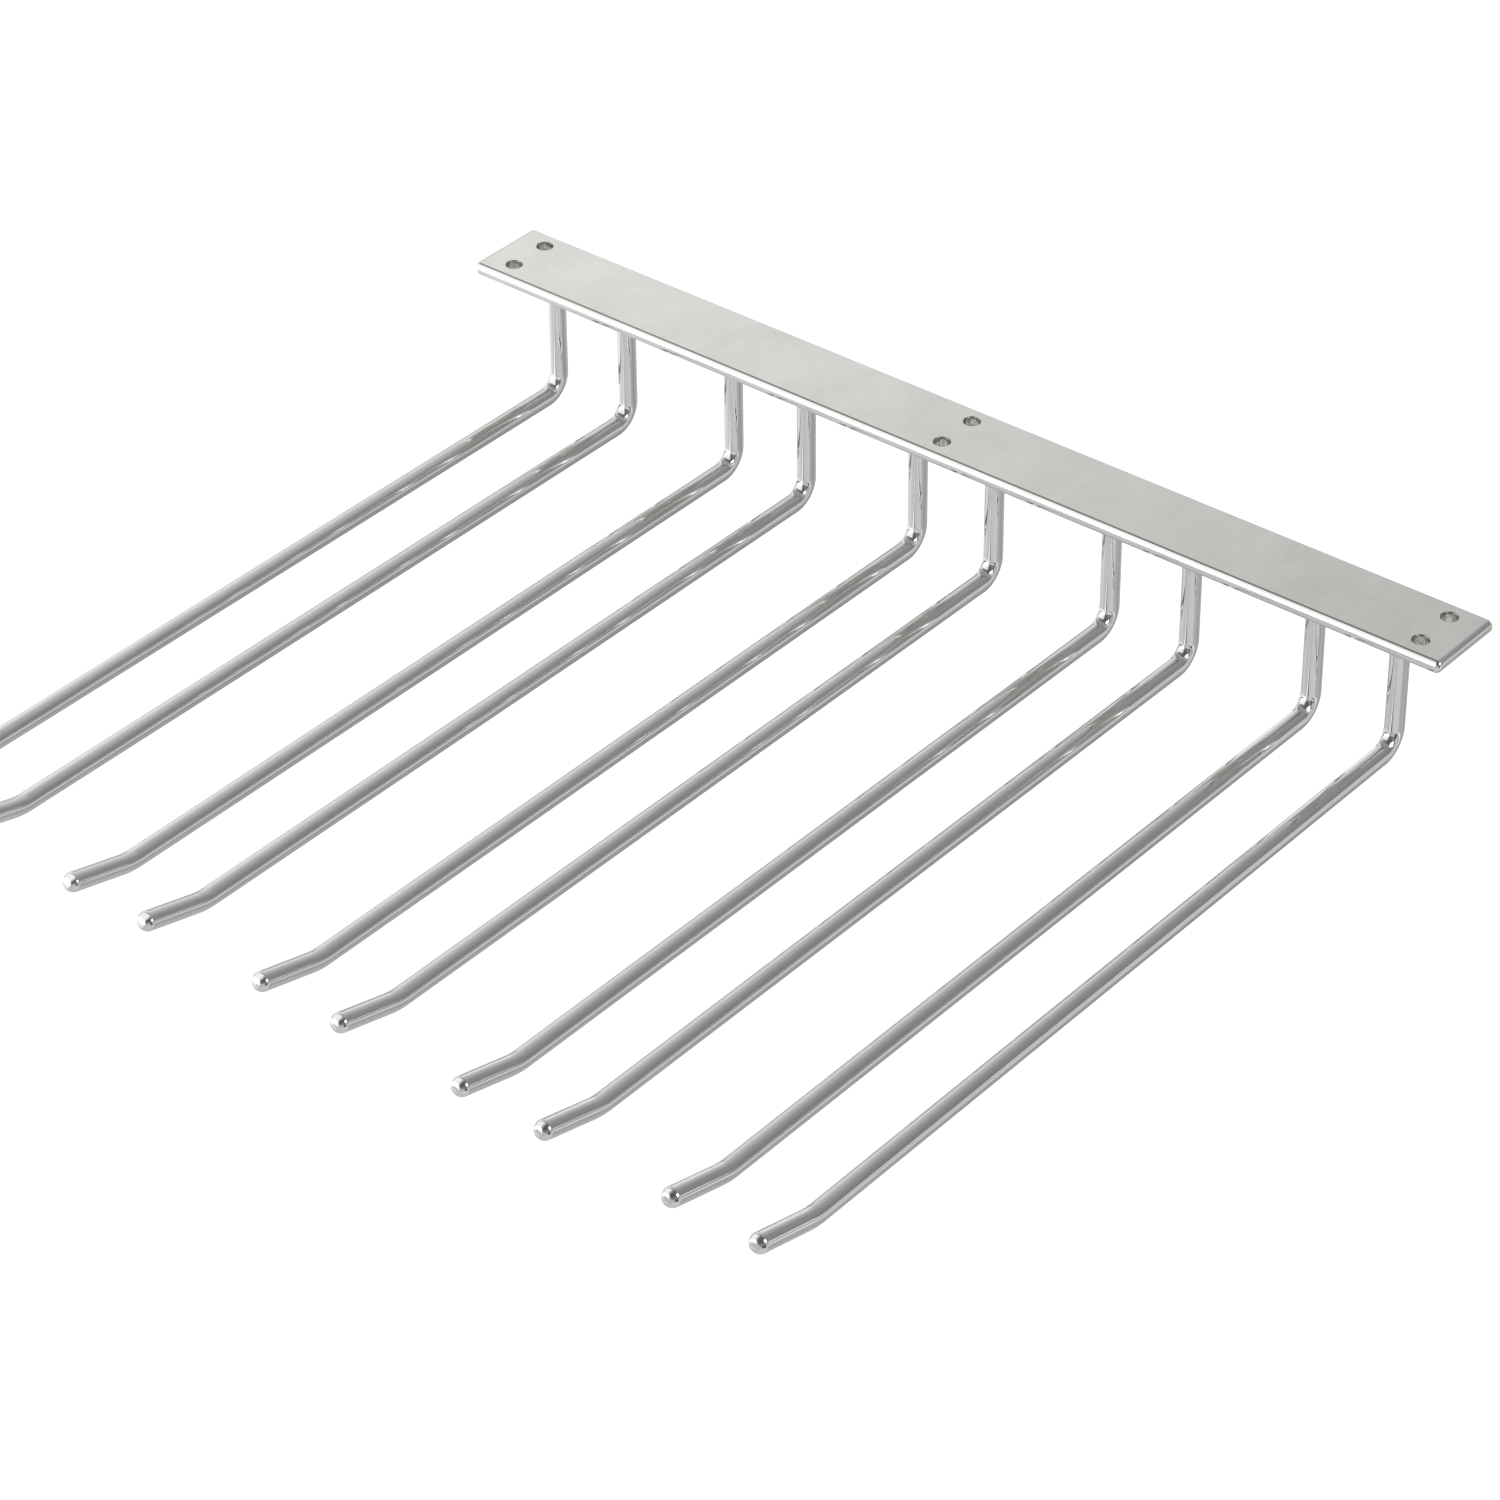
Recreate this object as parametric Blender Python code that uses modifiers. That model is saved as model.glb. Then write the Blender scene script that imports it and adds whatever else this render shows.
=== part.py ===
"""Hanging wine glass rack: a flat bar that is screwed up under a shelf, and five pairs of bent rods.

Metres, +Z up. The origin is the centre of the bar's top face, which lies against the shelf. X runs
along the bar, and the rods reach out towards -Y, where the glasses slide in.
"""

import math

import bmesh
import bpy

MM = 0.001

# Driving dimensions
BAR_LENGTH = 480 * MM
ROW_COUNT = 5
PAIR_SPACING = 38.4 * MM
BAR_WIDTH = 38 * MM
BAR_THICKNESS = 5.5 * MM
BAR_EDGE_RADIUS = 1.6 * MM
HOLE_DIAMETER = 6.8 * MM
HOLE_RIM_BREAK = 0.25 * MM
HOLE_END_MARGIN = 14.4 * MM
HOLE_PAIR_SPACING = 19.6 * MM
ROD_DIAMETER = 8 * MM
ROD_DROP = 60 * MM
ROD_REACH = 388 * MM
LEG_BEND_RADIUS = 9.5 * MM
TIP_LENGTH = 35 * MM
TIP_BEND_RADIUS = 30 * MM
TIP_ANGLE = math.radians(14.5)
END_FLAT_DIAMETER = 4.4 * MM
END_TAPER_ANGLE = math.radians(35)
END_SHOULDER_RADIUS = 2.3 * MM
SEAT_DEPTH = 2.5 * MM
SEAT_CLEARANCE = 0.3 * MM
BEAD_LEG = 3 * MM
BEAD_LIP = 0.5 * MM
CUT_OVERRUN = 2 * MM
SEAM_MERGE = 0.01 * MM

# Facets
BAR_EDGE_SEGMENTS = 3
HOLE_SIDES = 24
SEAT_SIDES = 16
ROD_BEVEL_RESOLUTION = 6
LEG_BEND_STEPS = 8
TIP_BEND_STEPS = 4
END_SHOULDER_STEPS = 3
BEAD_STEPS = 20
BEAD_ARC_STEPS = 3

# Sizes that follow: the rows share the bar's length, so that racks side by side keep one spacing
ROW_PITCH = BAR_LENGTH / ROW_COUNT
ROD_RADIUS = ROD_DIAMETER / 2
SEAT_RADIUS = ROD_RADIUS + SEAT_CLEARANCE
ROD_TOP = SEAT_DEPTH - SEAT_CLEARANCE - BAR_THICKNESS
ROD_LEVEL = -ROD_DROP
HOLE_ROW_X = BAR_LENGTH / 2 - HOLE_END_MARGIN
HOLE_XS = (-HOLE_ROW_X, 0, HOLE_ROW_X)
HOLE_YS = (-HOLE_PAIR_SPACING / 2, HOLE_PAIR_SPACING / 2)

# Finish: bright plating, satin on the broad faces of the bar
BAR_COLOUR = (0.72, 0.71, 0.69, 1)
ROD_COLOUR = (0.78, 0.78, 0.77, 1)
BEAD_COLOUR = (0.74, 0.74, 0.73, 1)
BAR_ROUGHNESS = 0.28
ROD_ROUGHNESS = 0.08
BEAD_ROUGHNESS = 0.2


def clear_scene():
    for obj in list(bpy.data.objects):
        bpy.data.objects.remove(obj, do_unlink=True)


def new_collection(name):
    collection = bpy.data.collections.new(name)
    bpy.context.scene.collection.children.link(collection)
    return collection


def plated_metal(name, colour, roughness):
    material = bpy.data.materials.new(name)
    material.use_nodes = True
    shader = material.node_tree.nodes["Principled BSDF"]
    shader.inputs["Base Color"].default_value = colour
    shader.inputs["Metallic"].default_value = 1
    shader.inputs["Roughness"].default_value = roughness
    return material


def add_object(name, data, collection, material=None):
    obj = bpy.data.objects.new(name, data)
    collection.objects.link(obj)
    if material:
        data.materials.append(material)
    return obj


def shade_round(mesh):
    mesh.shade_smooth()
    mesh.set_sharp_from_angle(angle=math.radians(35))


def turned(name, profile, steps, collection, material=None):
    """A ring or plug turned round its own Z axis. The profile is (radius, height) points."""
    mesh = bpy.data.meshes.new(name)
    shape = bmesh.new()
    corners = [shape.verts.new((radius, 0, height)) for radius, height in profile]
    for first, second in zip(corners, corners[1:]):
        shape.edges.new((first, second))
    shape.to_mesh(mesh)
    shape.free()
    obj = add_object(name, mesh, collection, material)
    screw = obj.modifiers.new("turn", "SCREW")
    screw.axis = "Z"
    screw.steps = steps
    screw.render_steps = steps
    screw.use_merge_vertices = True
    screw.merge_threshold = SEAM_MERGE
    screw.use_smooth_shade = True
    return obj


def hide_cutter(obj):
    obj.hide_render = True
    obj.display_type = "WIRE"


def cut(target, cutter):
    modifier = target.modifiers.new("cut_" + cutter.name, "BOOLEAN")
    modifier.operation = "DIFFERENCE"
    modifier.solver = "EXACT"
    modifier.object = cutter


def rod_places():
    """X of every rod, from the left: two to a row, half the pair spacing either side of its middle."""
    places = []
    for row in range(ROW_COUNT):
        middle = (row - (ROW_COUNT - 1) / 2) * ROW_PITCH
        places += [middle - PAIR_SPACING / 2, middle + PAIR_SPACING / 2]
    return places


def make_bar(collection, material):
    mesh = bpy.data.meshes.new("mounting_bar")
    shape = bmesh.new()
    bmesh.ops.create_cube(shape, size=1)
    bmesh.ops.scale(shape, vec=(BAR_LENGTH, BAR_WIDTH, BAR_THICKNESS), verts=shape.verts)
    shape.to_mesh(mesh)
    shape.free()
    shade_round(mesh)
    bar = add_object("mounting_bar", mesh, collection, material)
    bar.location.z = -BAR_THICKNESS / 2
    edges = bar.modifiers.new("rounded_edges", "BEVEL")
    edges.width = BAR_EDGE_RADIUS
    edges.segments = BAR_EDGE_SEGMENTS
    edges.limit_method = "ANGLE"
    return bar


def hole_profile():
    """Half of a screw hole's section: a straight bore whose rims flare by the small edge break."""
    bore = HOLE_DIAMETER / 2
    top = CUT_OVERRUN
    bottom = -BAR_THICKNESS - CUT_OVERRUN
    wide_top = (bore + HOLE_RIM_BREAK + CUT_OVERRUN, top)
    wide_bottom = (bore + HOLE_RIM_BREAK + CUT_OVERRUN, bottom)
    return [
        (0, top),
        wide_top,
        (bore, -HOLE_RIM_BREAK),
        (bore, HOLE_RIM_BREAK - BAR_THICKNESS),
        wide_bottom,
        (0, bottom),
    ]


def cut_screw_holes(bar, cutters):
    for column, x in enumerate(HOLE_XS):
        for row, y in enumerate(HOLE_YS):
            name = f"screw_hole_{column}_{row}"
            hole = turned(name, hole_profile(), HOLE_SIDES, cutters)
            hole.location = (x, y, 0)
            hide_cutter(hole)
            cut(bar, hole)


def cut_rod_seats(bar, cutters):
    ceiling = SEAT_DEPTH - BAR_THICKNESS
    mouth = -BAR_THICKNESS - CUT_OVERRUN
    profile = [(0, ceiling), (SEAT_RADIUS, ceiling), (SEAT_RADIUS, mouth), (0, mouth)]
    for number, x in enumerate(rod_places(), 1):
        seat = turned(f"rod_seat_{number:02d}", profile, SEAT_SIDES, cutters)
        seat.location = (x, 0, 0)
        hide_cutter(seat)
        cut(bar, seat)


def rod_end():
    """The ground end as (distance back from its flat face, radius): a shoulder, then a taper."""
    flat_radius = END_FLAT_DIAMETER / 2
    shoulder_drop = END_SHOULDER_RADIUS * (1 - math.cos(END_TAPER_ANGLE))
    shoulder_length = END_SHOULDER_RADIUS * math.sin(END_TAPER_ANGLE)
    taper_length = (ROD_RADIUS - shoulder_drop - flat_radius) / math.tan(END_TAPER_ANGLE)
    points = []
    for step in range(END_SHOULDER_STEPS + 1):
        turn = END_TAPER_ANGLE * step / END_SHOULDER_STEPS
        back = taper_length + shoulder_length - END_SHOULDER_RADIUS * math.sin(turn)
        radius = ROD_RADIUS - END_SHOULDER_RADIUS * (1 - math.cos(turn))
        points.append((back, radius))
    points.append((0, flat_radius))
    return points


def rod_route():
    """The rod's centre line as (y, z, radius share): leg, bend, run, raised tip and ground end."""
    route = [(0, ROD_TOP, 1)]
    for step in range(LEG_BEND_STEPS + 1):
        turn = math.pi / 2 * step / LEG_BEND_STEPS
        y = LEG_BEND_RADIUS * (math.cos(turn) - 1)
        z = ROD_LEVEL + LEG_BEND_RADIUS * (1 - math.sin(turn))
        route.append((y, z, 1))
    tip_start = TIP_LENGTH - ROD_REACH
    for step in range(TIP_BEND_STEPS + 1):
        turn = TIP_ANGLE * step / TIP_BEND_STEPS
        y = tip_start - TIP_BEND_RADIUS * math.sin(turn)
        z = ROD_LEVEL + TIP_BEND_RADIUS * (1 - math.cos(turn))
        route.append((y, z, 1))
    straight = (ROD_REACH + y) / math.cos(TIP_ANGLE)
    for back, radius in rod_end():
        end_y = y - (straight - back) * math.cos(TIP_ANGLE)
        end_z = z + (straight - back) * math.sin(TIP_ANGLE)
        route.append((end_y, end_z, radius / ROD_RADIUS))
    return route


def make_rod(name, x, collection, material):
    curve = bpy.data.curves.new(name, "CURVE")
    curve.dimensions = "3D"
    curve.bevel_depth = ROD_RADIUS
    curve.bevel_resolution = ROD_BEVEL_RESOLUTION
    curve.use_fill_caps = True
    route = rod_route()
    spline = curve.splines.new("POLY")
    spline.points.add(len(route) - 1)
    for point, (y, z, share) in zip(spline.points, route):
        point.co = (0, y, z, 1)
        point.radius = share
    rod = add_object(name, curve, collection, material)
    rod.location.x = x
    return rod


def bead_profile():
    """Half of a weld bead's section: a hollow fillet between the rod and the bar's underside."""
    inner = ROD_RADIUS + SEAT_CLEARANCE
    top = -BAR_THICKNESS - SEAT_CLEARANCE
    fillet = BEAD_LEG - BEAD_LIP
    outer = inner + BEAD_LEG
    bottom = top - BEAD_LEG
    profile = [(inner, top), (outer, top)]
    for step in range(BEAD_ARC_STEPS + 1):
        turn = math.pi / 2 * step / BEAD_ARC_STEPS
        radius = outer - fillet * math.sin(turn)
        height = bottom + fillet * math.cos(turn)
        profile.append((radius, height))
    profile += [(inner, bottom), (inner, top)]
    return profile


def make_bead(name, x, collection, material):
    bead = turned(name, bead_profile(), BEAD_STEPS, collection, material)
    bead.location.x = x
    return bead


def main():
    clear_scene()
    parts = new_collection("hanging_wine_glass_rack")
    cutters = new_collection("cutters")
    bar_metal = plated_metal("bar_plating", BAR_COLOUR, BAR_ROUGHNESS)
    rod_metal = plated_metal("rod_plating", ROD_COLOUR, ROD_ROUGHNESS)
    bead_metal = plated_metal("bead_plating", BEAD_COLOUR, BEAD_ROUGHNESS)
    bar = make_bar(parts, bar_metal)
    cut_screw_holes(bar, cutters)
    cut_rod_seats(bar, cutters)
    for number, x in enumerate(rod_places(), 1):
        make_rod(f"glass_rod_{number:02d}", x, parts, rod_metal)
        make_bead(f"weld_bead_{number:02d}", x, parts, bead_metal)


main()
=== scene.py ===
"""The looks of the hanging wine glass rack: plated bar, bent rods and weld beads in a white studio.

Metres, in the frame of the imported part: X along the bar, +Z up, rods towards -Y, and the origin at
the centre of the bar's top face.
"""

import math

import bmesh
import bpy
from mathutils import Matrix, Vector


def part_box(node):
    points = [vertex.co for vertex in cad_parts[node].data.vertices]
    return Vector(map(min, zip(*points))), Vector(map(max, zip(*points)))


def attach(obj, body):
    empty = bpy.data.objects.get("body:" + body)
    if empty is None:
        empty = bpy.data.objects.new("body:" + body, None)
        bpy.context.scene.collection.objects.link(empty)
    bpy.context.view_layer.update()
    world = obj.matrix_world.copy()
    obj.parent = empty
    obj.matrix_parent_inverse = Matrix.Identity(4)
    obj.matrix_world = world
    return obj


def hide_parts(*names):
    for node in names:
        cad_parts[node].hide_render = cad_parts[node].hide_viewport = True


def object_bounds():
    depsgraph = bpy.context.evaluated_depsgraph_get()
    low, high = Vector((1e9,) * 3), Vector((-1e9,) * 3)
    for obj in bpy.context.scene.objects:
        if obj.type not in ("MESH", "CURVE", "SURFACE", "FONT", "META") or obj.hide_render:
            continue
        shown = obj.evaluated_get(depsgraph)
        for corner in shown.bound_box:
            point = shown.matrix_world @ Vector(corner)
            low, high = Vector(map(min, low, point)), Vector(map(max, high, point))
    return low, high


MM = 0.001
BODY = "root"

# The photograph's camera
IMAGE_SIZE = 1500
SENSOR_WIDTH = 36.0
FOCAL_PIXELS = 5272.1
CAMERA_AZIMUTH = math.radians(39.518)
CAMERA_ELEVATION = math.radians(35.207)
CAMERA_ROLL = math.radians(-0.569)
CAMERA_PLACE = Vector((1071.4, -1430.2, 1105.5)) * MM
CAMERA_CLIP_END = 50

# The rods' form, which the frame's boxes don't give
LEG_BEND_RADIUS = 9.5 * MM
TIP_LENGTH = 35 * MM
TIP_BEND_RADIUS = 30 * MM
TIP_ANGLE = math.radians(14.5)
END_FLAT_DIAMETER = 4.4 * MM
END_TAPER_ANGLE = math.radians(40)
END_SHOULDER_RADIUS = 3.4 * MM
END_EDGE_RADIUS = 0.8 * MM

# The bar's form
BARREL_RADIUS = 3.6 * MM
BARREL_DEPTH = 3 * MM
BARREL_BREAK = 0.35 * MM
BAR_END_TOP_RADIUS = 2.1 * MM
BAR_END_LOW_RADIUS = 2.3 * MM
BAR_CORNER_RADIUS = 2.2 * MM
BAR_CORNER_LEAST = 0.6 * MM
HOLE_DIAMETER = 6.8 * MM
HOLE_RIM_RADIUS = 0.5 * MM
HOLE_END_MARGIN = 14.4 * MM
HOLE_PAIR_SPACING = 19.6 * MM
SEAT_DEPTH = 2.5 * MM
CUT_OVERRUN = 2 * MM

# Weld beads, which lie against the rod and the bar
BEAD_BURIED = 0.1 * MM
BEAD_LIP = 0.5 * MM
BEAD_RIPPLE = 0.06 * MM
BEAD_RIPPLES = 26

# Fineness
ROD_SIDES = 64
LEG_BEND_STEPS = 40
TIP_BEND_STEPS = 20
END_SHOULDER_STEPS = 12
END_EDGE_STEPS = 5
BARREL_STEPS = 28
BARREL_BREAK_STEPS = 7
BAR_CORNER_STEPS = 14
HOLE_SIDES = 96
HOLE_RIM_STEPS = 6
BEAD_STEPS = 208
BEAD_ARC_STEPS = 14

# Edges that bend by more degrees than these stay crisp
BAR_SHARP_DEGREES = 50
ROD_SHARP_DEGREES = 30
BEAD_SHARP_DEGREES = 40

# Finishes: base colours from dark to light, and roughness over a texture's middle range
NOISE_MIDDLE = (0.3, 0.7)
BAR_COLOURS = ((0.725, 0.716, 0.692), (0.815, 0.81, 0.79))
# The bores' colours: partly thin plating, partly painted shade that darkens the inside of each screw
# hole
BORE_COLOURS_WITH_PAINTED_SHADE = ((0.22, 0.216, 0.206), (0.72, 0.71, 0.69))
ROD_COLOURS = ((0.73, 0.727, 0.718), (0.76, 0.757, 0.748))
BEAD_COLOURS = ((0.68, 0.67, 0.65), (0.78, 0.775, 0.765))
BAR_FACE_ROUGHNESS = (0.15, 0.25)
BAR_EDGE_ROUGHNESS = 0.07
BORE_ROUGHNESS = (0.16, 0.07)
ROD_ROUGHNESS = (0.06, 0.09)
BEAD_ROUGHNESS = (0.12, 0.28)

# A normal's Z: the satin fades in over the first two, and the bores' dark finish, partly painted
# shade, ends at the last
FLAT_STARTS = 0.93
FLAT_FULL = 0.998
SHADED_BORE_ENDS = 0.96

# Textures as (scale, detail, roughness), where the scale is one number or one for each axis
CLOUDS = ((34, 20, 34), 4, 0.6)
MARKS = ((70, 900, 900), 3, 0.6)
GRAIN = (2600, 2, 0.6)
SCORES = ((1000, 1000, 420), 3, 0.6)
DRAW_LINES = ((1500, 12, 1500), 3, 0.6)
WAVES = (60, 2, 0.4)
RIPPLE = (900, 3, 0.6)
PITS = (2500, 2, 0.5)
SWEEP = (22, 1, 0.5)
SWEEP_DISTANCE = 30 * MM

# The textures' relief
MARK_HEIGHT = 0.0016 * MM
GRAIN_HEIGHT = 0.0006 * MM
SCORE_HEIGHT = 0.09 * MM
DRAW_LINE_HEIGHT = 0.0006 * MM
WAVE_HEIGHT = 0.03 * MM
RIPPLE_HEIGHT = 0.02 * MM
PIT_HEIGHT = 0.004 * MM

# The studio
STUDIO_CENTRE = Vector((0, -0.2, 0))
STUDIO_SIZE = 14.0
FLOOR_DEPTH = 0.9
FLOOR_COLOUR = (0.9, 0.9, 0.9)
FLOOR_ROUGHNESS = 0.9
FLOOR_GLOW = 0.6
WORLD_LIGHT = 0.55
BACKGROUND_WHITE = 1.0

# Softboxes as (direction, distance, (width, height), radiance), from the studio's centre
KEY_SOFTBOX = ((-0.615, -0.733, 0.292), 1.3, (1.6, 1.6), 1.7)
RIGHT_SOFTBOX = ((0.849, 0.028, 0.415), 0.945, (0.42, 0.45), 2.2)

# Flags and scrims: heights, places along X and Y, and levels of brightness, where 1 is white
PANEL_FOOT = -0.5
PANEL_REACH = 14.0
CEILING_HEIGHT = 0.8
LEFT_WALL_X = -1.5
RIGHT_WALL_X = 1.0
RIGHT_WALL_FOOT = 0
CEILING_X_LEVELS = (
    (LEFT_WALL_X, 1.05), (-1.2, 0.98), (-0.4, 0.62), (0.5, 0.34), (RIGHT_WALL_X, 0.33),
)
CEILING_Y_SHARES = ((-0.8, 0.35), (-0.3, 0.42), (0.0, 0.68), (0.3, 1.08), (0.6, 1.0), (1.8, 0.95))
LEFT_WALL_Y_LEVELS = ((0.65, 0.96), (1.5, 0.42))
RIGHT_WALL_Y_LEVELS = ((-0.3, 0.25), (1.8, 0.34))
UNDER_FLAG_EDGE = (-0.9, 0.95)
UNDER_FLAG_YS = (-1.6, -0.25, -0.05, 0.1, 0.35, 0.65, 1.0, 6.0)
UNDER_FLAG_NEAR = (
    (-0.2, (0.66, 0.64, 0.52, 0.4, 0.35, 0.55, 0.66, 0.7)),
    (0.5, (0.72, 0.72, 0.52, 0.43, 0.36, 0.5, 0.6, 0.7)),
)
UNDER_FLAG_FAR = (
    (0.66, 0.46), (0.8, 0.56), (0.98, 0.46), (1.12, 1.15),
    (1.25, 1.15), (1.42, 0.7), (1.6, 0.52), (PANEL_REACH, 0.62),
)
UNDER_FLAG_FRONT_Y = -0.2
UNDER_FLAG_FRONT_LEVEL = 0.75
LOW_FLAG_Y = -1.0
LOW_FLAG_XS = (-0.1, 1.6)
LOW_FLAG_TOP = 0.05
LOW_FLAG_LEVEL = 0.6
FRONT_GROUND = (
    ((-0.9, -1.6), (4.0, -1.6)),
    ((-8.8, -PANEL_REACH), (PANEL_REACH, -PANEL_REACH)),
)
FRONT_GROUND_LEVEL = 0.62
FRONT_SCRIM_HEIGHT = 0.3
FRONT_SCRIM_YS = (-1.0, -0.27)
FRONT_SCRIM_X_LEVELS = ((-0.9, 1.2), (-0.02, 1.15), (0.2, 0.12))
RIGHT_FLAG_X = 1.25
RIGHT_FLAG_YS = (-1.4, -0.3)
RIGHT_FLAG_LEVEL = 0.12
CAMERA_FLAG_ACROSS_LEVELS = ((-0.75, 0.3), (0.0, 0.08), (0.9, 0.25))
CAMERA_FLAG_LIFT_LEVELS = ((-0.6, 0.3), (0.0, 0.08), (0.8, 0.25))

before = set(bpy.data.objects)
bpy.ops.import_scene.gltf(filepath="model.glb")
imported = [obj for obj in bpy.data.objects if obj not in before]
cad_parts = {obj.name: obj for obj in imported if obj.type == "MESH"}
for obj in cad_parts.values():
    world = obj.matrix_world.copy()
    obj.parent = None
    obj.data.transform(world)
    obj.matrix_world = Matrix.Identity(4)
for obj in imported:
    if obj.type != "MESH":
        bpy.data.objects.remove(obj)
cad_low, cad_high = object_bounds()


# Helpers
def link(obj):
    bpy.context.scene.collection.objects.link(obj)
    return obj


def mesh_object(name, shape, material):
    mesh = bpy.data.meshes.new(name)
    shape.to_mesh(mesh)
    shape.free()
    obj = link(bpy.data.objects.new(name, mesh))
    if material:
        mesh.materials.append(material)
    return obj


def join_rings(shape, first, second, steps):
    """Faces between two rings of vertices, either of which may be a single point."""
    for step in range(steps):
        following = (step + 1) % steps
        corners = [first[step % len(first)], first[following % len(first)]]
        corners += [second[following % len(second)], second[step % len(second)]]
        shape.faces.new(list(dict.fromkeys(corners)))


def shade_round(obj, sharp_degrees):
    obj.data.shade_smooth()
    obj.data.set_sharp_from_angle(angle=math.radians(sharp_degrees))


def evaluated_mesh(obj):
    """A mesh of the object as its modifiers leave it."""
    graph = bpy.context.evaluated_depsgraph_get()
    return bpy.data.meshes.new_from_object(obj.evaluated_get(graph), depsgraph=graph)


def stands_for(obj, node):
    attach(obj, BODY)
    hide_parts(node)


def nodes_named(start):
    return sorted(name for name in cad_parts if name.startswith(start))


def centre_x(node):
    low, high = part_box(node)
    return (low.x + high.x) / 2


# Camera
def make_camera():
    az, el, roll = CAMERA_AZIMUTH, CAMERA_ELEVATION, CAMERA_ROLL
    back = Vector((math.sin(az) * math.cos(el), -math.cos(az) * math.cos(el), math.sin(el)))
    right = (-back).cross(Vector((0, 0, 1))).normalized()
    up = right.cross(-back)
    turned_right = math.cos(roll) * right + math.sin(roll) * up
    turned_up = math.cos(roll) * up - math.sin(roll) * right
    axes = Matrix((turned_right, turned_up, back)).transposed()
    data = bpy.data.cameras.new("camera")
    data.sensor_width = SENSOR_WIDTH
    data.lens = FOCAL_PIXELS / IMAGE_SIZE * SENSOR_WIDTH
    data.clip_end = CAMERA_CLIP_END
    camera = link(bpy.data.objects.new("camera", data))
    camera.matrix_world = Matrix.Translation(CAMERA_PLACE) @ axes.to_4x4()
    bpy.context.scene.camera = camera


# Materials
def node_material(name):
    material = bpy.data.materials.new(name)
    material.use_nodes = True
    tree = material.node_tree
    return material, tree.nodes, tree.links, tree.nodes["Principled BSDF"]


def noise(nodes, links, vector, texture):
    """A noise node for a texture of (scale, detail, roughness)."""
    scale, detail, roughness = texture
    node = nodes.new("ShaderNodeTexNoise")
    if isinstance(scale, tuple):
        vector = stretched(nodes, links, vector, scale)
        scale = 1
    node.inputs["Scale"].default_value = scale
    node.inputs["Detail"].default_value = detail
    node.inputs["Roughness"].default_value = roughness
    links.new(vector, node.inputs["Vector"])
    return node


def grey_noise(nodes, links, vector, texture):
    return noise(nodes, links, vector, texture).outputs["Fac"]


def stretched(nodes, links, vector, scale):
    mapping = nodes.new("ShaderNodeMapping")
    mapping.inputs["Scale"].default_value = scale
    links.new(vector, mapping.inputs["Vector"])
    return mapping.outputs["Vector"]


def wandering(nodes, links, vector, texture, distance):
    """The place moved about smoothly, so that straight marks laid over it curve."""
    shift = nodes.new("ShaderNodeVectorMath")
    shift.operation = "MULTIPLY_ADD"
    shift.inputs[1].default_value = (distance, distance, 0)
    links.new(noise(nodes, links, vector, texture).outputs["Color"], shift.inputs[0])
    links.new(vector, shift.inputs[2])
    return shift.outputs["Vector"]


def spread(nodes, links, value, low, high):
    """The middle range of a texture's values mapped to low ... high."""
    mapped = nodes.new("ShaderNodeMapRange")
    mapped.inputs["From Min"].default_value = NOISE_MIDDLE[0]
    mapped.inputs["From Max"].default_value = NOISE_MIDDLE[1]
    mapped.inputs["To Min"].default_value = low
    mapped.inputs["To Max"].default_value = high
    links.new(value, mapped.inputs["Value"])
    return mapped.outputs["Result"]


def tinted(nodes, links, value, dark, light):
    mix = nodes.new("ShaderNodeMix")
    mix.data_type = "RGBA"
    colours = [socket for socket in mix.inputs if socket.type == "RGBA"]
    colours[0].default_value = (*dark, 1)
    colours[1].default_value = (*light, 1)
    links.new(spread(nodes, links, value, 0, 1), mix.inputs["Factor"])
    return next(socket for socket in mix.outputs if socket.type == "RGBA")


def bump(nodes, links, height, distance, normal=None):
    node = nodes.new("ShaderNodeBump")
    node.inputs["Strength"].default_value = 1
    node.inputs["Distance"].default_value = distance
    links.new(height, node.inputs["Height"])
    if normal:
        links.new(normal, node.inputs["Normal"])
    return node.outputs["Normal"]


def flatness(nodes, links, coordinates):
    """One on the bar's broad faces and zero on its edges, ends and bores."""
    parts = nodes.new("ShaderNodeSeparateXYZ")
    links.new(coordinates.outputs["Normal"], parts.inputs["Vector"])
    size = nodes.new("ShaderNodeMath")
    size.operation = "ABSOLUTE"
    links.new(parts.outputs["Z"], size.inputs[0])
    mapped = nodes.new("ShaderNodeMapRange")
    mapped.interpolation_type = "SMOOTHSTEP"
    mapped.inputs["From Min"].default_value = FLAT_STARTS
    mapped.inputs["From Max"].default_value = FLAT_FULL
    links.new(size.outputs["Value"], mapped.inputs["Value"])
    return mapped.outputs["Result"]


def blended(nodes, links, share, first, second):
    """The first value, a number, where the share is zero, and the linked second where it is one."""
    mix = nodes.new("ShaderNodeMix")
    mix.data_type = "FLOAT"
    numbers = [socket for socket in mix.inputs if socket.type == "VALUE"]
    links.new(share, numbers[0])
    numbers[1].default_value = first
    links.new(second, numbers[2])
    return next(socket for socket in mix.outputs if socket.type == "VALUE")


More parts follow.
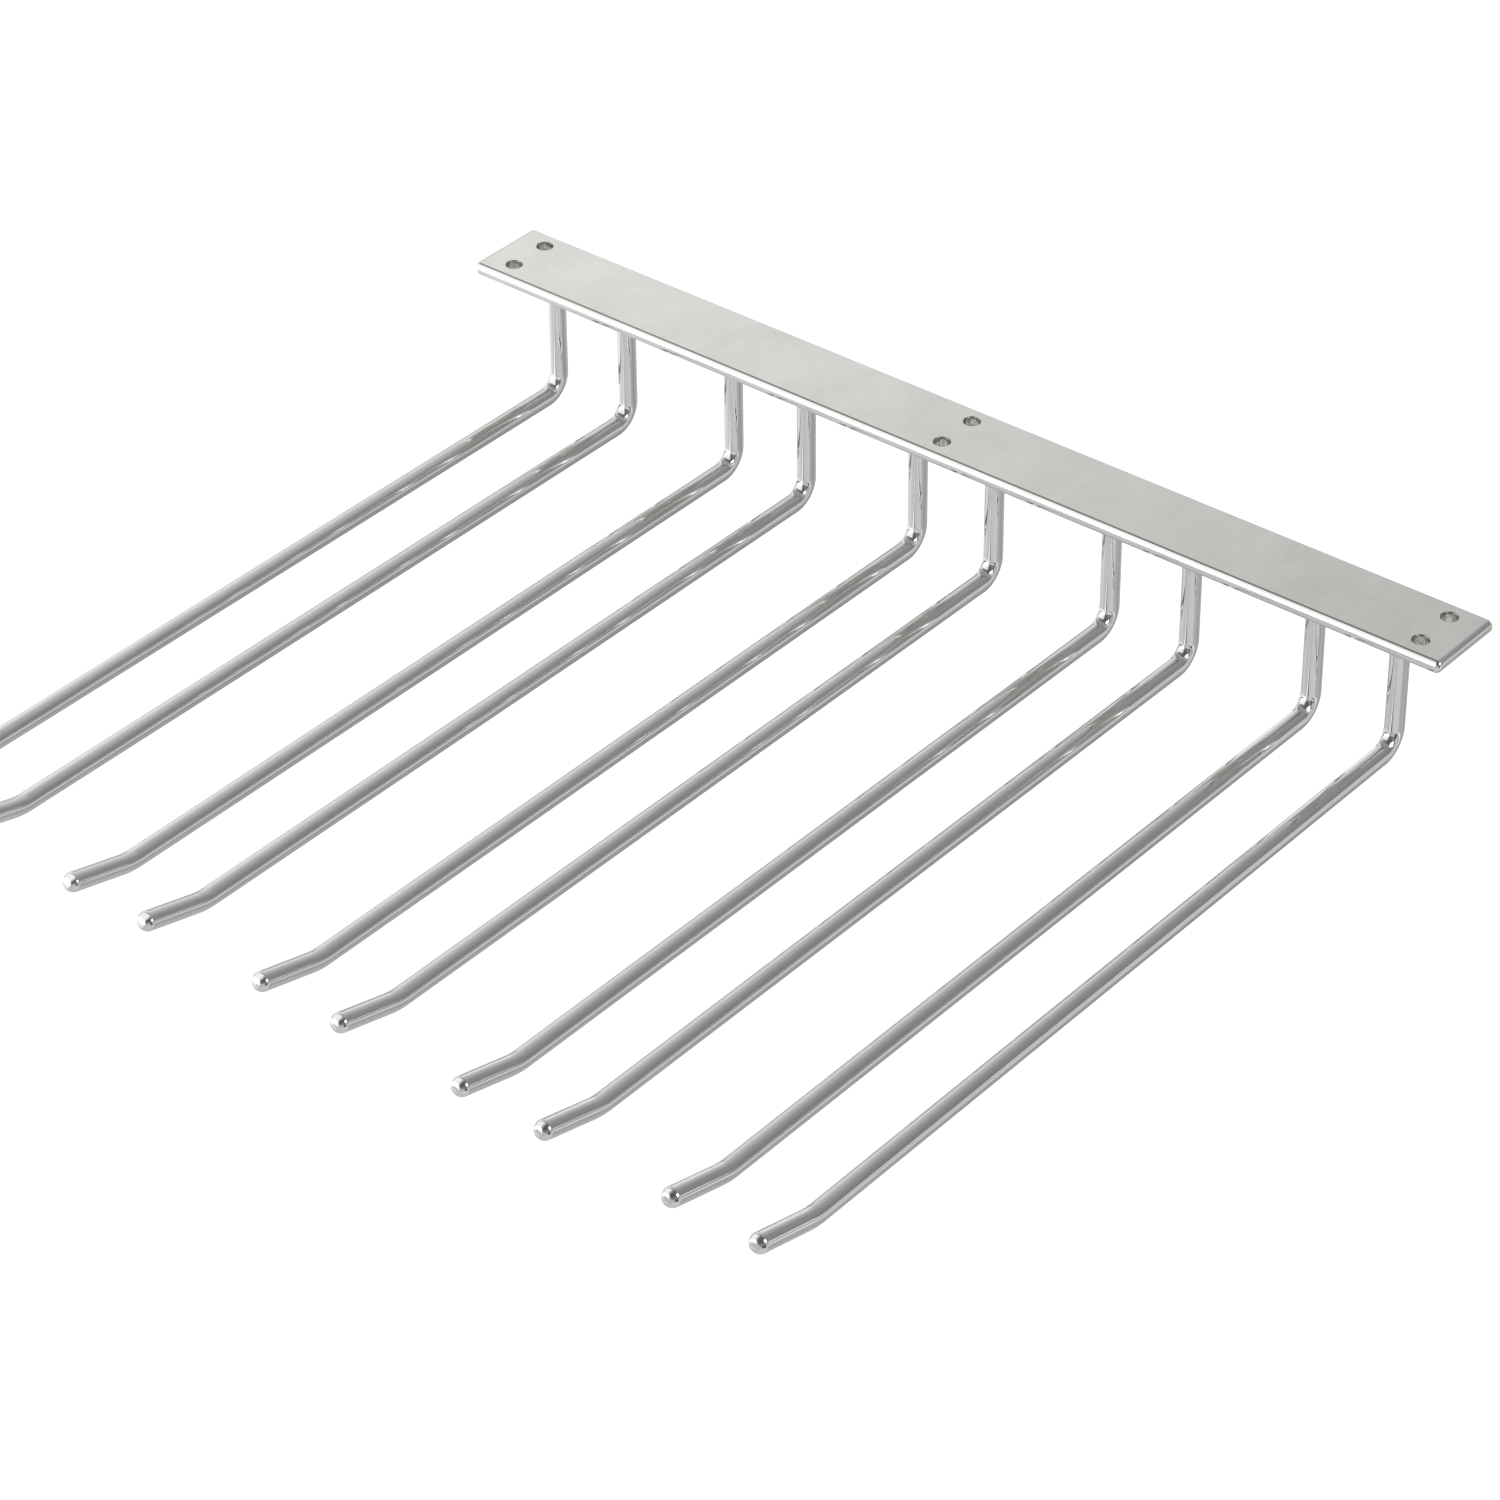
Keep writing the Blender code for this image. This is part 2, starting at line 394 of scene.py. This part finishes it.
def bar_plating():
    """Plating over a ground flat: satin broad faces with clouds and curved marks, bright edges."""
    material, nodes, links, shader = node_material("bar_plating_finish")
    coordinates = nodes.new("ShaderNodeTexCoord")
    place = coordinates.outputs["Object"]
    swept = wandering(nodes, links, place, SWEEP, SWEEP_DISTANCE)
    clouds = grey_noise(nodes, links, swept, CLOUDS)
    marks = grey_noise(nodes, links, swept, MARKS)
    grain = grey_noise(nodes, links, place, GRAIN)
    links.new(tinted(nodes, links, clouds, *BAR_COLOURS), shader.inputs["Base Color"])
    shader.inputs["Metallic"].default_value = 1
    satin = spread(nodes, links, marks, *BAR_FACE_ROUGHNESS)
    flat = flatness(nodes, links, coordinates)
    roughness = blended(nodes, links, flat, BAR_EDGE_ROUGHNESS, satin)
    links.new(roughness, shader.inputs["Roughness"])
    normal = bump(nodes, links, marks, MARK_HEIGHT)
    normal = bump(nodes, links, grain, GRAIN_HEIGHT, normal)
    links.new(normal, shader.inputs["Normal"])
    return material


def shaded_bore_plating():
    """Thin plating in a punched bore, darkened further as painted shade inside the hole: mottled,
    dull where it is dark and shiny where bright.
    """
    material, nodes, links, shader = node_material("bore_plating_and_painted_shade")
    place = nodes.new("ShaderNodeTexCoord").outputs["Object"]
    scores = grey_noise(nodes, links, place, SCORES)
    # Painted shade: the tint runs down to a dark grey that stands for the shade inside the hole
    links.new(tinted(nodes, links, scores, *BORE_COLOURS_WITH_PAINTED_SHADE), shader.inputs["Base Color"])
    shader.inputs["Metallic"].default_value = 1
    links.new(spread(nodes, links, scores, *BORE_ROUGHNESS), shader.inputs["Roughness"])
    links.new(bump(nodes, links, scores, SCORE_HEIGHT), shader.inputs["Normal"])
    return material


def rod_plating():
    """Bright plating over drawn rod: near mirror, with faint lengthwise draw lines."""
    material, nodes, links, shader = node_material("rod_plating_finish")
    place = nodes.new("ShaderNodeTexCoord").outputs["Object"]
    lines = grey_noise(nodes, links, place, DRAW_LINES)
    waves = grey_noise(nodes, links, place, WAVES)
    links.new(tinted(nodes, links, waves, *ROD_COLOURS), shader.inputs["Base Color"])
    shader.inputs["Metallic"].default_value = 1
    links.new(spread(nodes, links, lines, *ROD_ROUGHNESS), shader.inputs["Roughness"])
    normal = bump(nodes, links, lines, DRAW_LINE_HEIGHT)
    normal = bump(nodes, links, waves, WAVE_HEIGHT, normal)
    links.new(normal, shader.inputs["Normal"])
    return material


def bead_plating():
    """Plating over weld metal: bright, with a fine ripple and pits."""
    material, nodes, links, shader = node_material("bead_plating_finish")
    place = nodes.new("ShaderNodeTexCoord").outputs["Object"]
    ripple = grey_noise(nodes, links, place, RIPPLE)
    pits = grey_noise(nodes, links, place, PITS)
    links.new(tinted(nodes, links, pits, *BEAD_COLOURS), shader.inputs["Base Color"])
    shader.inputs["Metallic"].default_value = 1
    links.new(spread(nodes, links, ripple, *BEAD_ROUGHNESS), shader.inputs["Roughness"])
    normal = bump(nodes, links, ripple, RIPPLE_HEIGHT)
    normal = bump(nodes, links, pits, PIT_HEIGHT, normal)
    links.new(normal, shader.inputs["Normal"])
    return material


# The bar
def barrel_break(height):
    """A rounded corner at a height from the barrel's widest line: its end's slope, and its points."""
    centre_height = height - BARREL_BREAK
    slope = math.asin(centre_height / (BARREL_RADIUS - BARREL_BREAK))
    centre_inset = BARREL_RADIUS - (BARREL_RADIUS - BARREL_BREAK) * math.cos(slope)
    points = []
    for step in range(BARREL_BREAK_STEPS):
        turn = math.pi / 2 + (slope - math.pi / 2) * step / BARREL_BREAK_STEPS
        inset = centre_inset - BARREL_BREAK * math.cos(turn)
        points.append((inset, centre_height + BARREL_BREAK * math.sin(turn)))
    return slope, points


def barrel_edge(thickness):
    """The long edges' section, (inset, depth) from the top face down: a barrel, corners broken."""
    top_slope, top_points = barrel_break(BARREL_DEPTH)
    low_slope, low_points = barrel_break(thickness - BARREL_DEPTH)
    section = [(inset, BARREL_DEPTH - height) for inset, height in top_points]
    for step in range(BARREL_STEPS + 1):
        turn = top_slope - (top_slope + low_slope) * step / BARREL_STEPS
        inset = BARREL_RADIUS * (1 - math.cos(turn))
        section.append((inset, BARREL_DEPTH - BARREL_RADIUS * math.sin(turn)))
    section += [(inset, BARREL_DEPTH + height) for inset, height in reversed(low_points)]
    return section


def end_inset(depth, thickness):
    """How far the bar's ends stand back at a depth: flat, with both edges rounded over."""
    for radius, rest in ((BAR_END_TOP_RADIUS, depth), (BAR_END_LOW_RADIUS, thickness - depth)):
        if rest < radius:
            return radius - math.sqrt(radius ** 2 - (radius - rest) ** 2)
    return 0


def bar_outline(low, high, depth, side_inset):
    """Points round the bar at one depth, its corners rounded in plan."""
    inset = Vector((end_inset(depth, high.z - low.z), side_inset, 0))
    radius = max(BAR_CORNER_RADIUS - inset.x, BAR_CORNER_LEAST)
    centre = (low + high) / 2
    reach = (high - low) / 2 - inset
    points = []
    for quarter, (side_x, side_y) in enumerate(((1, 1), (-1, 1), (-1, -1), (1, -1))):
        corner_x = centre.x + side_x * (reach.x - radius)
        corner_y = centre.y + side_y * (reach.y - radius)
        for step in range(BAR_CORNER_STEPS + 1):
            turn = math.pi / 2 * (quarter + step / BAR_CORNER_STEPS)
            x = corner_x + radius * math.cos(turn)
            y = corner_y + radius * math.sin(turn)
            points.append(Vector((x, y, high.z - depth)))
    return points


def bar_block(low, high):
    shape = bmesh.new()
    rings = []
    for inset, depth in barrel_edge(high.z - low.z):
        rings.append([shape.verts.new(point) for point in bar_outline(low, high, depth, inset)])
    for first, second in zip(rings, rings[1:]):
        join_rings(shape, first, second, len(first))
    shape.faces.new(rings[0])
    shape.faces.new(rings[-1])
    bmesh.ops.recalc_face_normals(shape, faces=shape.faces)
    return shape


def turned(name, profile, steps, place):
    """A closed plug turned round the Z axis through place, from (radius, height) points."""
    shape = bmesh.new()
    rings = []
    for radius, height in profile:
        if radius == 0:
            rings.append([shape.verts.new(place + Vector((0, 0, height)))])
            continue
        ring = []
        for step in range(steps):
            angle = 2 * math.pi * step / steps
            offset = Vector((radius * math.cos(angle), radius * math.sin(angle), height))
            ring.append(shape.verts.new(place + offset))
        rings.append(ring)
    for first, second in zip(rings, rings[1:]):
        join_rings(shape, first, second, steps)
    bmesh.ops.recalc_face_normals(shape, faces=shape.faces)
    return mesh_object(name, shape, None)


def hole_profile(top, bottom):
    """Half a screw hole's section: a bore whose two rims round over by HOLE_RIM_RADIUS."""
    bore = HOLE_DIAMETER / 2
    wide = bore + HOLE_RIM_RADIUS
    upper = []
    for step in range(HOLE_RIM_STEPS + 1):
        turn = math.pi / 2 * step / HOLE_RIM_STEPS
        radius = wide - HOLE_RIM_RADIUS * math.sin(turn)
        drop = HOLE_RIM_RADIUS * (1 - math.cos(turn))
        upper.append((radius, drop))
    profile = [(0, top + CUT_OVERRUN), (wide, top + CUT_OVERRUN)]
    profile += [(radius, top - drop) for radius, drop in upper]
    profile += [(radius, bottom + drop) for radius, drop in reversed(upper)]
    profile += [(wide, bottom - CUT_OVERRUN), (0, bottom - CUT_OVERRUN)]
    return profile


def seat_profile(bottom, radius):
    ceiling = bottom + SEAT_DEPTH
    mouth = bottom - CUT_OVERRUN
    return [(0, ceiling), (radius, ceiling), (radius, mouth), (0, mouth)]


def hole_places():
    """The six screw holes in plan: a pair near each end of the bar and one in its middle."""
    end_x = cad_high.x - HOLE_END_MARGIN
    half_pair = HOLE_PAIR_SPACING / 2
    return [Vector((x, y)) for x in (-end_x, 0, end_x) for y in (-half_pair, half_pair)]


def bar_cutters(low, high):
    cutters = []
    for hole in hole_places():
        profile = hole_profile(high.z, low.z)
        cutters.append(turned("screw_hole", profile, HOLE_SIDES, hole.to_3d()))
    radius = rod_radius()
    for node in nodes_named("glass_rod_"):
        place = Vector((centre_x(node), 0, 0))
        cutters.append(turned("rod_seat", seat_profile(low.z, radius), ROD_SIDES, place))
    return cutters


def plate_and_shade_bores(mesh, material):
    """Gives the bores' dark finish, thin plating with painted shade, to the steep faces of every
    screw hole, up to its rims.
    """
    mesh.materials.append(material)
    places = hole_places()
    reach = HOLE_DIAMETER / 2 + HOLE_RIM_RADIUS
    for face in mesh.polygons:
        inside = any((face.center.xy - place).length < reach for place in places)
        # Painted shade: the dark bore finish also covers the rounded rims, giving each hole a dark
        # ring
        if inside and abs(face.normal.z) < SHADED_BORE_ENDS:
            face.material_index = 1


def make_bar(material, shaded_bore_material):
    node = "mounting_bar"
    low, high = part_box(node)
    draft = mesh_object("bar_draft", bar_block(low, high), material)
    cutters = bar_cutters(low, high)
    for cutter in cutters:
        cut = draft.modifiers.new("cut", "BOOLEAN")
        cut.operation = "DIFFERENCE"
        cut.solver = "EXACT"
        cut.object = cutter
    mesh = evaluated_mesh(draft)
    for obj in [draft, *cutters]:
        bpy.data.objects.remove(obj, do_unlink=True)
    plate_and_shade_bores(mesh, shaded_bore_material)
    bar = link(bpy.data.objects.new("polished_bar", mesh))
    shade_round(bar, BAR_SHARP_DEGREES)
    flats = bar.modifiers.new("flat_faces_stay_flat", "WEIGHTED_NORMAL")
    flats.keep_sharp = True
    stands_for(bar, node)


# The rods
def rod_radius():
    low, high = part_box("glass_rod_01")
    return (high.x - low.x) / 2


def rod_route(node):
    """Stations down a rod, (y, z, turn, radius): turn is 0 straight down and 90 degrees level."""
    low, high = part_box(node)
    radius = rod_radius()
    level = low.z + radius
    reach = -low.y - END_FLAT_DIAMETER / 2 * math.sin(TIP_ANGLE)
    stations = [(0, high.z, 0, radius)]
    for step in range(LEG_BEND_STEPS + 1):
        turn = math.pi / 2 * step / LEG_BEND_STEPS
        y = LEG_BEND_RADIUS * (math.cos(turn) - 1)
        z = level + LEG_BEND_RADIUS * (1 - math.sin(turn))
        stations.append((y, z, turn, radius))
    for step in range(TIP_BEND_STEPS + 1):
        lift = TIP_ANGLE * step / TIP_BEND_STEPS
        y = TIP_LENGTH - reach - TIP_BEND_RADIUS * math.sin(lift)
        z = level + TIP_BEND_RADIUS * (1 - math.cos(lift))
        stations.append((y, z, math.pi / 2 + lift, radius))
    straight = (reach + y) / math.cos(TIP_ANGLE)
    for back, end_radius in end_profile(radius):
        along = straight - back
        end_y = y - along * math.cos(TIP_ANGLE)
        end_z = z + along * math.sin(TIP_ANGLE)
        stations.append((end_y, end_z, math.pi / 2 + TIP_ANGLE, end_radius))
    return stations


def end_profile(radius):
    """The ground end, (distance back from its flat face, radius): shoulder, taper and soft edge."""
    flat_radius = END_FLAT_DIAMETER / 2
    shoulder_drop = END_SHOULDER_RADIUS * (1 - math.cos(END_TAPER_ANGLE))
    shoulder_length = END_SHOULDER_RADIUS * math.sin(END_TAPER_ANGLE)
    taper_length = (radius - shoulder_drop - flat_radius) / math.tan(END_TAPER_ANGLE)
    points = []
    for step in range(END_SHOULDER_STEPS + 1):
        turn = END_TAPER_ANGLE * step / END_SHOULDER_STEPS
        back = taper_length + shoulder_length - END_SHOULDER_RADIUS * math.sin(turn)
        points.append((back, radius - END_SHOULDER_RADIUS * (1 - math.cos(turn))))
    taper_top = Vector(points[-1])
    return points + rounded_corner(taper_top, Vector((0, flat_radius)), Vector((0, 0)))


def rounded_corner(before, corner, after):
    """Points of a soft curve that starts and ends END_EDGE_RADIUS either side of a corner."""
    start = corner + (before - corner).normalized() * END_EDGE_RADIUS
    end = corner + (after - corner).normalized() * END_EDGE_RADIUS
    points = []
    for step in range(END_EDGE_STEPS + 1):
        share = step / END_EDGE_STEPS
        near = start.lerp(corner, share)
        far = corner.lerp(end, share)
        points.append(tuple(near.lerp(far, share)))
    return points


def rod_ring(shape, x, station):
    """A circle of vertices square to the rod at a station."""
    y, z, turn, radius = station
    across = Vector((0, math.cos(turn), -math.sin(turn)))
    vertices = []
    for side in range(ROD_SIDES):
        angle = 2 * math.pi * side / ROD_SIDES
        offset = Vector((math.cos(angle), 0, 0)) + math.sin(angle) * across
        vertices.append(shape.verts.new(Vector((x, y, z)) + radius * offset))
    return vertices


def make_rod(node, material):
    shape = bmesh.new()
    rings = [rod_ring(shape, centre_x(node), station) for station in rod_route(node)]
    for first, second in zip(rings, rings[1:]):
        join_rings(shape, first, second, ROD_SIDES)
    shape.faces.new(rings[0])
    shape.faces.new(rings[-1])
    bmesh.ops.recalc_face_normals(shape, faces=shape.faces)
    rod = mesh_object("polished_" + node, shape, material)
    shade_round(rod, ROD_SHARP_DEGREES)
    stands_for(rod, node)


# The weld beads
def bead_section(low, high):
    """Half a bead's section, (radius, height) from bar to rod: a hollow fillet with lips."""
    outer = (high.x - low.x) / 2
    inner = rod_radius() - BEAD_BURIED
    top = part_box("mounting_bar")[0].z + BEAD_BURIED
    foot = low.z
    fillet = outer - rod_radius() - BEAD_LIP
    section = [(inner, top), (outer, top), (outer, foot + fillet + BEAD_LIP)]
    for step in range(BEAD_ARC_STEPS + 1):
        turn = math.pi / 2 * step / BEAD_ARC_STEPS
        radius = outer - fillet * math.sin(turn)
        height = foot + fillet * math.cos(turn)
        section.append((radius, height))
    section.append((inner, foot))
    return section


def make_bead(node, material):
    """A weld bead: its hollow face carries the even ripples that the welder's pool leaves."""
    low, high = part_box(node)
    middle_x = centre_x(node)
    shape = bmesh.new()
    rings = []
    section = bead_section(low, high)
    for step in range(BEAD_STEPS):
        angle = 2 * math.pi * step / BEAD_STEPS
        ripple = BEAD_RIPPLE * (1 + math.cos(BEAD_RIPPLES * angle)) / 2
        ring = []
        for number, (radius, height) in enumerate(section):
            on_hollow_face = 1 < number < len(section) - 2
            reach = radius - ripple if on_hollow_face else radius
            place = Vector((middle_x + reach * math.cos(angle), reach * math.sin(angle), height))
            ring.append(shape.verts.new(place))
        rings.append(ring)
    for first, second in zip(rings, rings[1:] + rings[:1]):
        join_rings(shape, first, second, len(section))
    bmesh.ops.recalc_face_normals(shape, faces=shape.faces)
    bead = mesh_object("ground_" + node, shape, material)
    shade_round(bead, BEAD_SHARP_DEGREES)
    stands_for(bead, node)


# The studio's room
def seen_rays(nodes, links):
    """One where a ray comes from the camera, a mirror or through glass, and zero elsewhere."""
    path = nodes.new("ShaderNodeLightPath")
    total = path.outputs["Is Camera Ray"]
    for name in ("Is Glossy Ray", "Is Transmission Ray"):
        either = nodes.new("ShaderNodeMath")
        either.operation = "MAXIMUM"
        links.new(total, either.inputs[0])
        links.new(path.outputs[name], either.inputs[1])
        total = either.outputs["Value"]
    return total


def make_world():
    world = bpy.data.worlds.new("studio")
    bpy.context.scene.world = world
    world.use_nodes = True
    nodes, links = world.node_tree.nodes, world.node_tree.links
    background = nodes["Background"]
    strength = nodes.new("ShaderNodeMapRange")
    strength.inputs["To Min"].default_value = WORLD_LIGHT
    strength.inputs["To Max"].default_value = BACKGROUND_WHITE
    links.new(seen_rays(nodes, links), strength.inputs["Value"])
    links.new(strength.outputs["Result"], background.inputs["Strength"])
    background.inputs["Color"].default_value = (1, 1, 1, 1)


def floor_material():
    material, nodes, links, shader = node_material("studio_floor")
    shader.inputs["Base Color"].default_value = (*FLOOR_COLOUR, 1)
    shader.inputs["Roughness"].default_value = FLOOR_ROUGHNESS
    shader.inputs["Specular IOR Level"].default_value = 0
    shader.inputs["Emission Color"].default_value = (1, 1, 1, 1)
    glow = nodes.new("ShaderNodeMath")
    glow.operation = "MULTIPLY"
    glow.inputs[1].default_value = FLOOR_GLOW
    links.new(seen_rays(nodes, links), glow.inputs[0])
    links.new(glow.outputs["Value"], shader.inputs["Emission Strength"])
    return material


def make_floor():
    shape = bmesh.new()
    bmesh.ops.create_grid(shape, x_segments=1, y_segments=1, size=STUDIO_SIZE / 2)
    bmesh.ops.translate(shape, vec=(0, 0, -FLOOR_DEPTH), verts=shape.verts)
    floor = mesh_object("studio_floor", shape, floor_material())


def aimed(obj, place, target):
    obj.location = place
    obj.rotation_euler = (target - place).to_track_quat("-Z", "Y").to_euler()


def softbox(name, direction, distance, size, radiance):
    """A rectangular lamp that faces the studio's centre and glows with a given radiance."""
    data = bpy.data.lights.new(name, "AREA")
    data.shape = "RECTANGLE"
    data.size, data.size_y = size
    data.energy = radiance * size[0] * size[1] * math.pi
    lamp = link(bpy.data.objects.new(name, data))
    lamp.visible_camera = False
    aimed(lamp, STUDIO_CENTRE + Vector(direction).normalized() * distance, STUDIO_CENTRE)


# The studio's flags and scrims
def panel_material():
    """An even glow of the brightness that each point of a panel carries."""
    material, nodes, links, shader = node_material("panel_glow")
    brightness = nodes.new("ShaderNodeAttribute")
    brightness.attribute_name = "brightness"
    shader.inputs["Base Color"].default_value = (0, 0, 0, 1)
    shader.inputs["Specular IOR Level"].default_value = 0
    shader.inputs["Emission Color"].default_value = (1, 1, 1, 1)
    links.new(brightness.outputs["Fac"], shader.inputs["Emission Strength"])
    return material


def panel(name, rows, material):
    """A flag or scrim that only mirrors see: rows of (x, y, z, brightness) points."""
    shape = bmesh.new()
    layer = shape.verts.layers.float.new("brightness")
    grid = []
    for row in rows:
        vertices = [shape.verts.new(point[:3]) for point in row]
        for vertex, point in zip(vertices, row):
            vertex[layer] = point[3]
        grid.append(vertices)
    for first, second in zip(grid, grid[1:]):
        for near, far, far_next, near_next in zip(first, second, second[1:], first[1:]):
            shape.faces.new((near, far, far_next, near_next))
    board = mesh_object(name, shape, material)
    board.visible_camera = False
    board.visible_diffuse = False
    board.visible_shadow = False


def make_ceiling(material):
    """A scrim overhead, brightest at the left where the light comes in and darkest in front."""
    rows = []
    for x, level in CEILING_X_LEVELS:
        rows.append([(x, y, CEILING_HEIGHT, level * share) for y, share in CEILING_Y_SHARES])
    panel("ceiling_scrim", rows, material)


def upright(x, foot, y_levels):
    """The rows of a panel that stands across the X axis, from a foot up to the ceiling."""
    return [[(x, y, z, level) for z in (foot, CEILING_HEIGHT)] for y, level in y_levels]


def make_walls(material):
    panel("left_wall", upright(LEFT_WALL_X, PANEL_FOOT, LEFT_WALL_Y_LEVELS), material)
    panel("right_wall", upright(RIGHT_WALL_X, RIGHT_WALL_FOOT, RIGHT_WALL_Y_LEVELS), material)


def make_under_flag(material):
    """A grey flag beneath the rack, darkest just behind it, with a bright strip on its right."""
    edge_x, edge_level = UNDER_FLAG_EDGE
    rows = [[(edge_x, y, PANEL_FOOT, edge_level) for y in UNDER_FLAG_YS]]
    for x, levels in UNDER_FLAG_NEAR:
        rows.append([(x, y, PANEL_FOOT, level) for y, level in zip(UNDER_FLAG_YS, levels)])
    for x, far_level in UNDER_FLAG_FAR:
        row = []
        for y in UNDER_FLAG_YS:
            level = UNDER_FLAG_FRONT_LEVEL if y < UNDER_FLAG_FRONT_Y else far_level
            row.append((x, y, PANEL_FOOT, level))
        rows.append(row)
    panel("under_flag", rows, material)


def make_low_flag(material):
    """A grey flag low in front of the rack, up to the key softbox's lower edge."""
    heights = (PANEL_FOOT, LOW_FLAG_TOP)
    rows = [[(x, LOW_FLAG_Y, z, LOW_FLAG_LEVEL) for z in heights] for x in LOW_FLAG_XS]
    panel("low_flag", rows, material)


def make_front_ground(material):
    """Grey ground in front of the under flag, wider the further it lies from the rack."""
    rows = [[(x, y, PANEL_FOOT, FRONT_GROUND_LEVEL) for x, y in row] for row in FRONT_GROUND]
    panel("front_ground", rows, material)


def make_front_scrim(material):
    """A white scrim low over the rods' tips, fading out to the right."""
    rows = []
    for x, level in FRONT_SCRIM_X_LEVELS:
        rows.append([(x, y, FRONT_SCRIM_HEIGHT, level) for y in FRONT_SCRIM_YS])
    panel("front_scrim", rows, material)


def make_right_flag(material):
    """A dark flag on the right, in front of the wall."""
    y_levels = [(y, RIGHT_FLAG_LEVEL) for y in RIGHT_FLAG_YS]
    panel("right_flag", upright(RIGHT_FLAG_X, PANEL_FOOT, y_levels), material)


def make_camera_flag(material):
    """A dark flag a metre out towards the camera, wider on its right and paler at its edges."""
    back = (CAMERA_PLACE - STUDIO_CENTRE).normalized()
    right = Vector((0, 0, 1)).cross(back).normalized()
    up = back.cross(right)
    rows = []
    for across, side_level in CAMERA_FLAG_ACROSS_LEVELS:
        row = []
        for lift, level in CAMERA_FLAG_LIFT_LEVELS:
            place = STUDIO_CENTRE + back + right * across + up * lift
            row.append((*place, max(level, side_level)))
        rows.append(row)
    panel("camera_flag", rows, material)


def make_studio():
    make_world()
    make_floor()
    glow = panel_material()
    make_ceiling(glow)
    make_walls(glow)
    make_under_flag(glow)
    make_low_flag(glow)
    make_front_ground(glow)
    make_front_scrim(glow)
    make_right_flag(glow)
    make_camera_flag(glow)
    softbox("key_softbox", *KEY_SOFTBOX)
    softbox("right_softbox", *RIGHT_SOFTBOX)


def main():
    make_camera()
    make_bar(bar_plating(), shaded_bore_plating())
    rod_metal = rod_plating()
    bead_metal = bead_plating()
    for node in nodes_named("glass_rod_"):
        make_rod(node, rod_metal)
    for node in nodes_named("weld_bead_"):
        make_bead(node, bead_metal)
    make_studio()
    bpy.context.scene.view_settings.view_transform = "Standard"


main()
